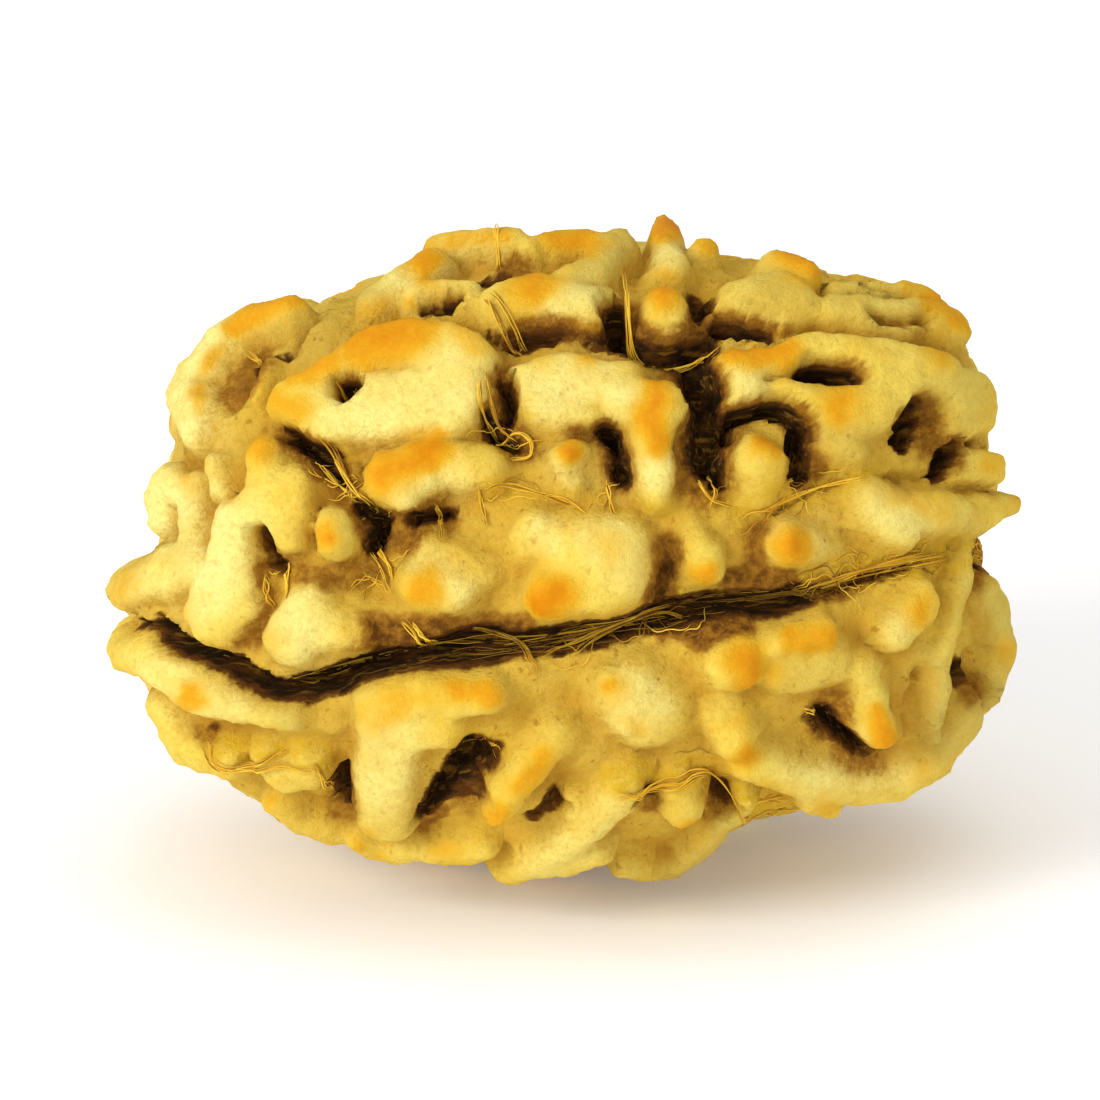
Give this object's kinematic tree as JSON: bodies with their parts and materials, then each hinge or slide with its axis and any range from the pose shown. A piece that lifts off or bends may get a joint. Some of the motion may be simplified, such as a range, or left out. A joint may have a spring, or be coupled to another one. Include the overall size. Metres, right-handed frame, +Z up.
{
  "type": "rudraksha bead",
  "caption": "Rudraksha bead: a raw, unpolished seed stone, grooved from pole to pole and covered in tubercles, used whole as a prayer or mala bead.",
  "frame": {"origin": "on the resting plane, under the middle of the bounding box", "axes": "+X towards the pole on the right of the picture, -Y towards the picture's camera, +Z up from the flat spot it rests on"},
  "size_m": [0.022, 0.0158, 0.016],
  "materials": {
    "seed_stone": "dry, dull and unoiled, with smoother orange-brown caps"
  },
  "bodies": {
    "root": {"bead": "seed_stone"}
  },
  "joints": []
}
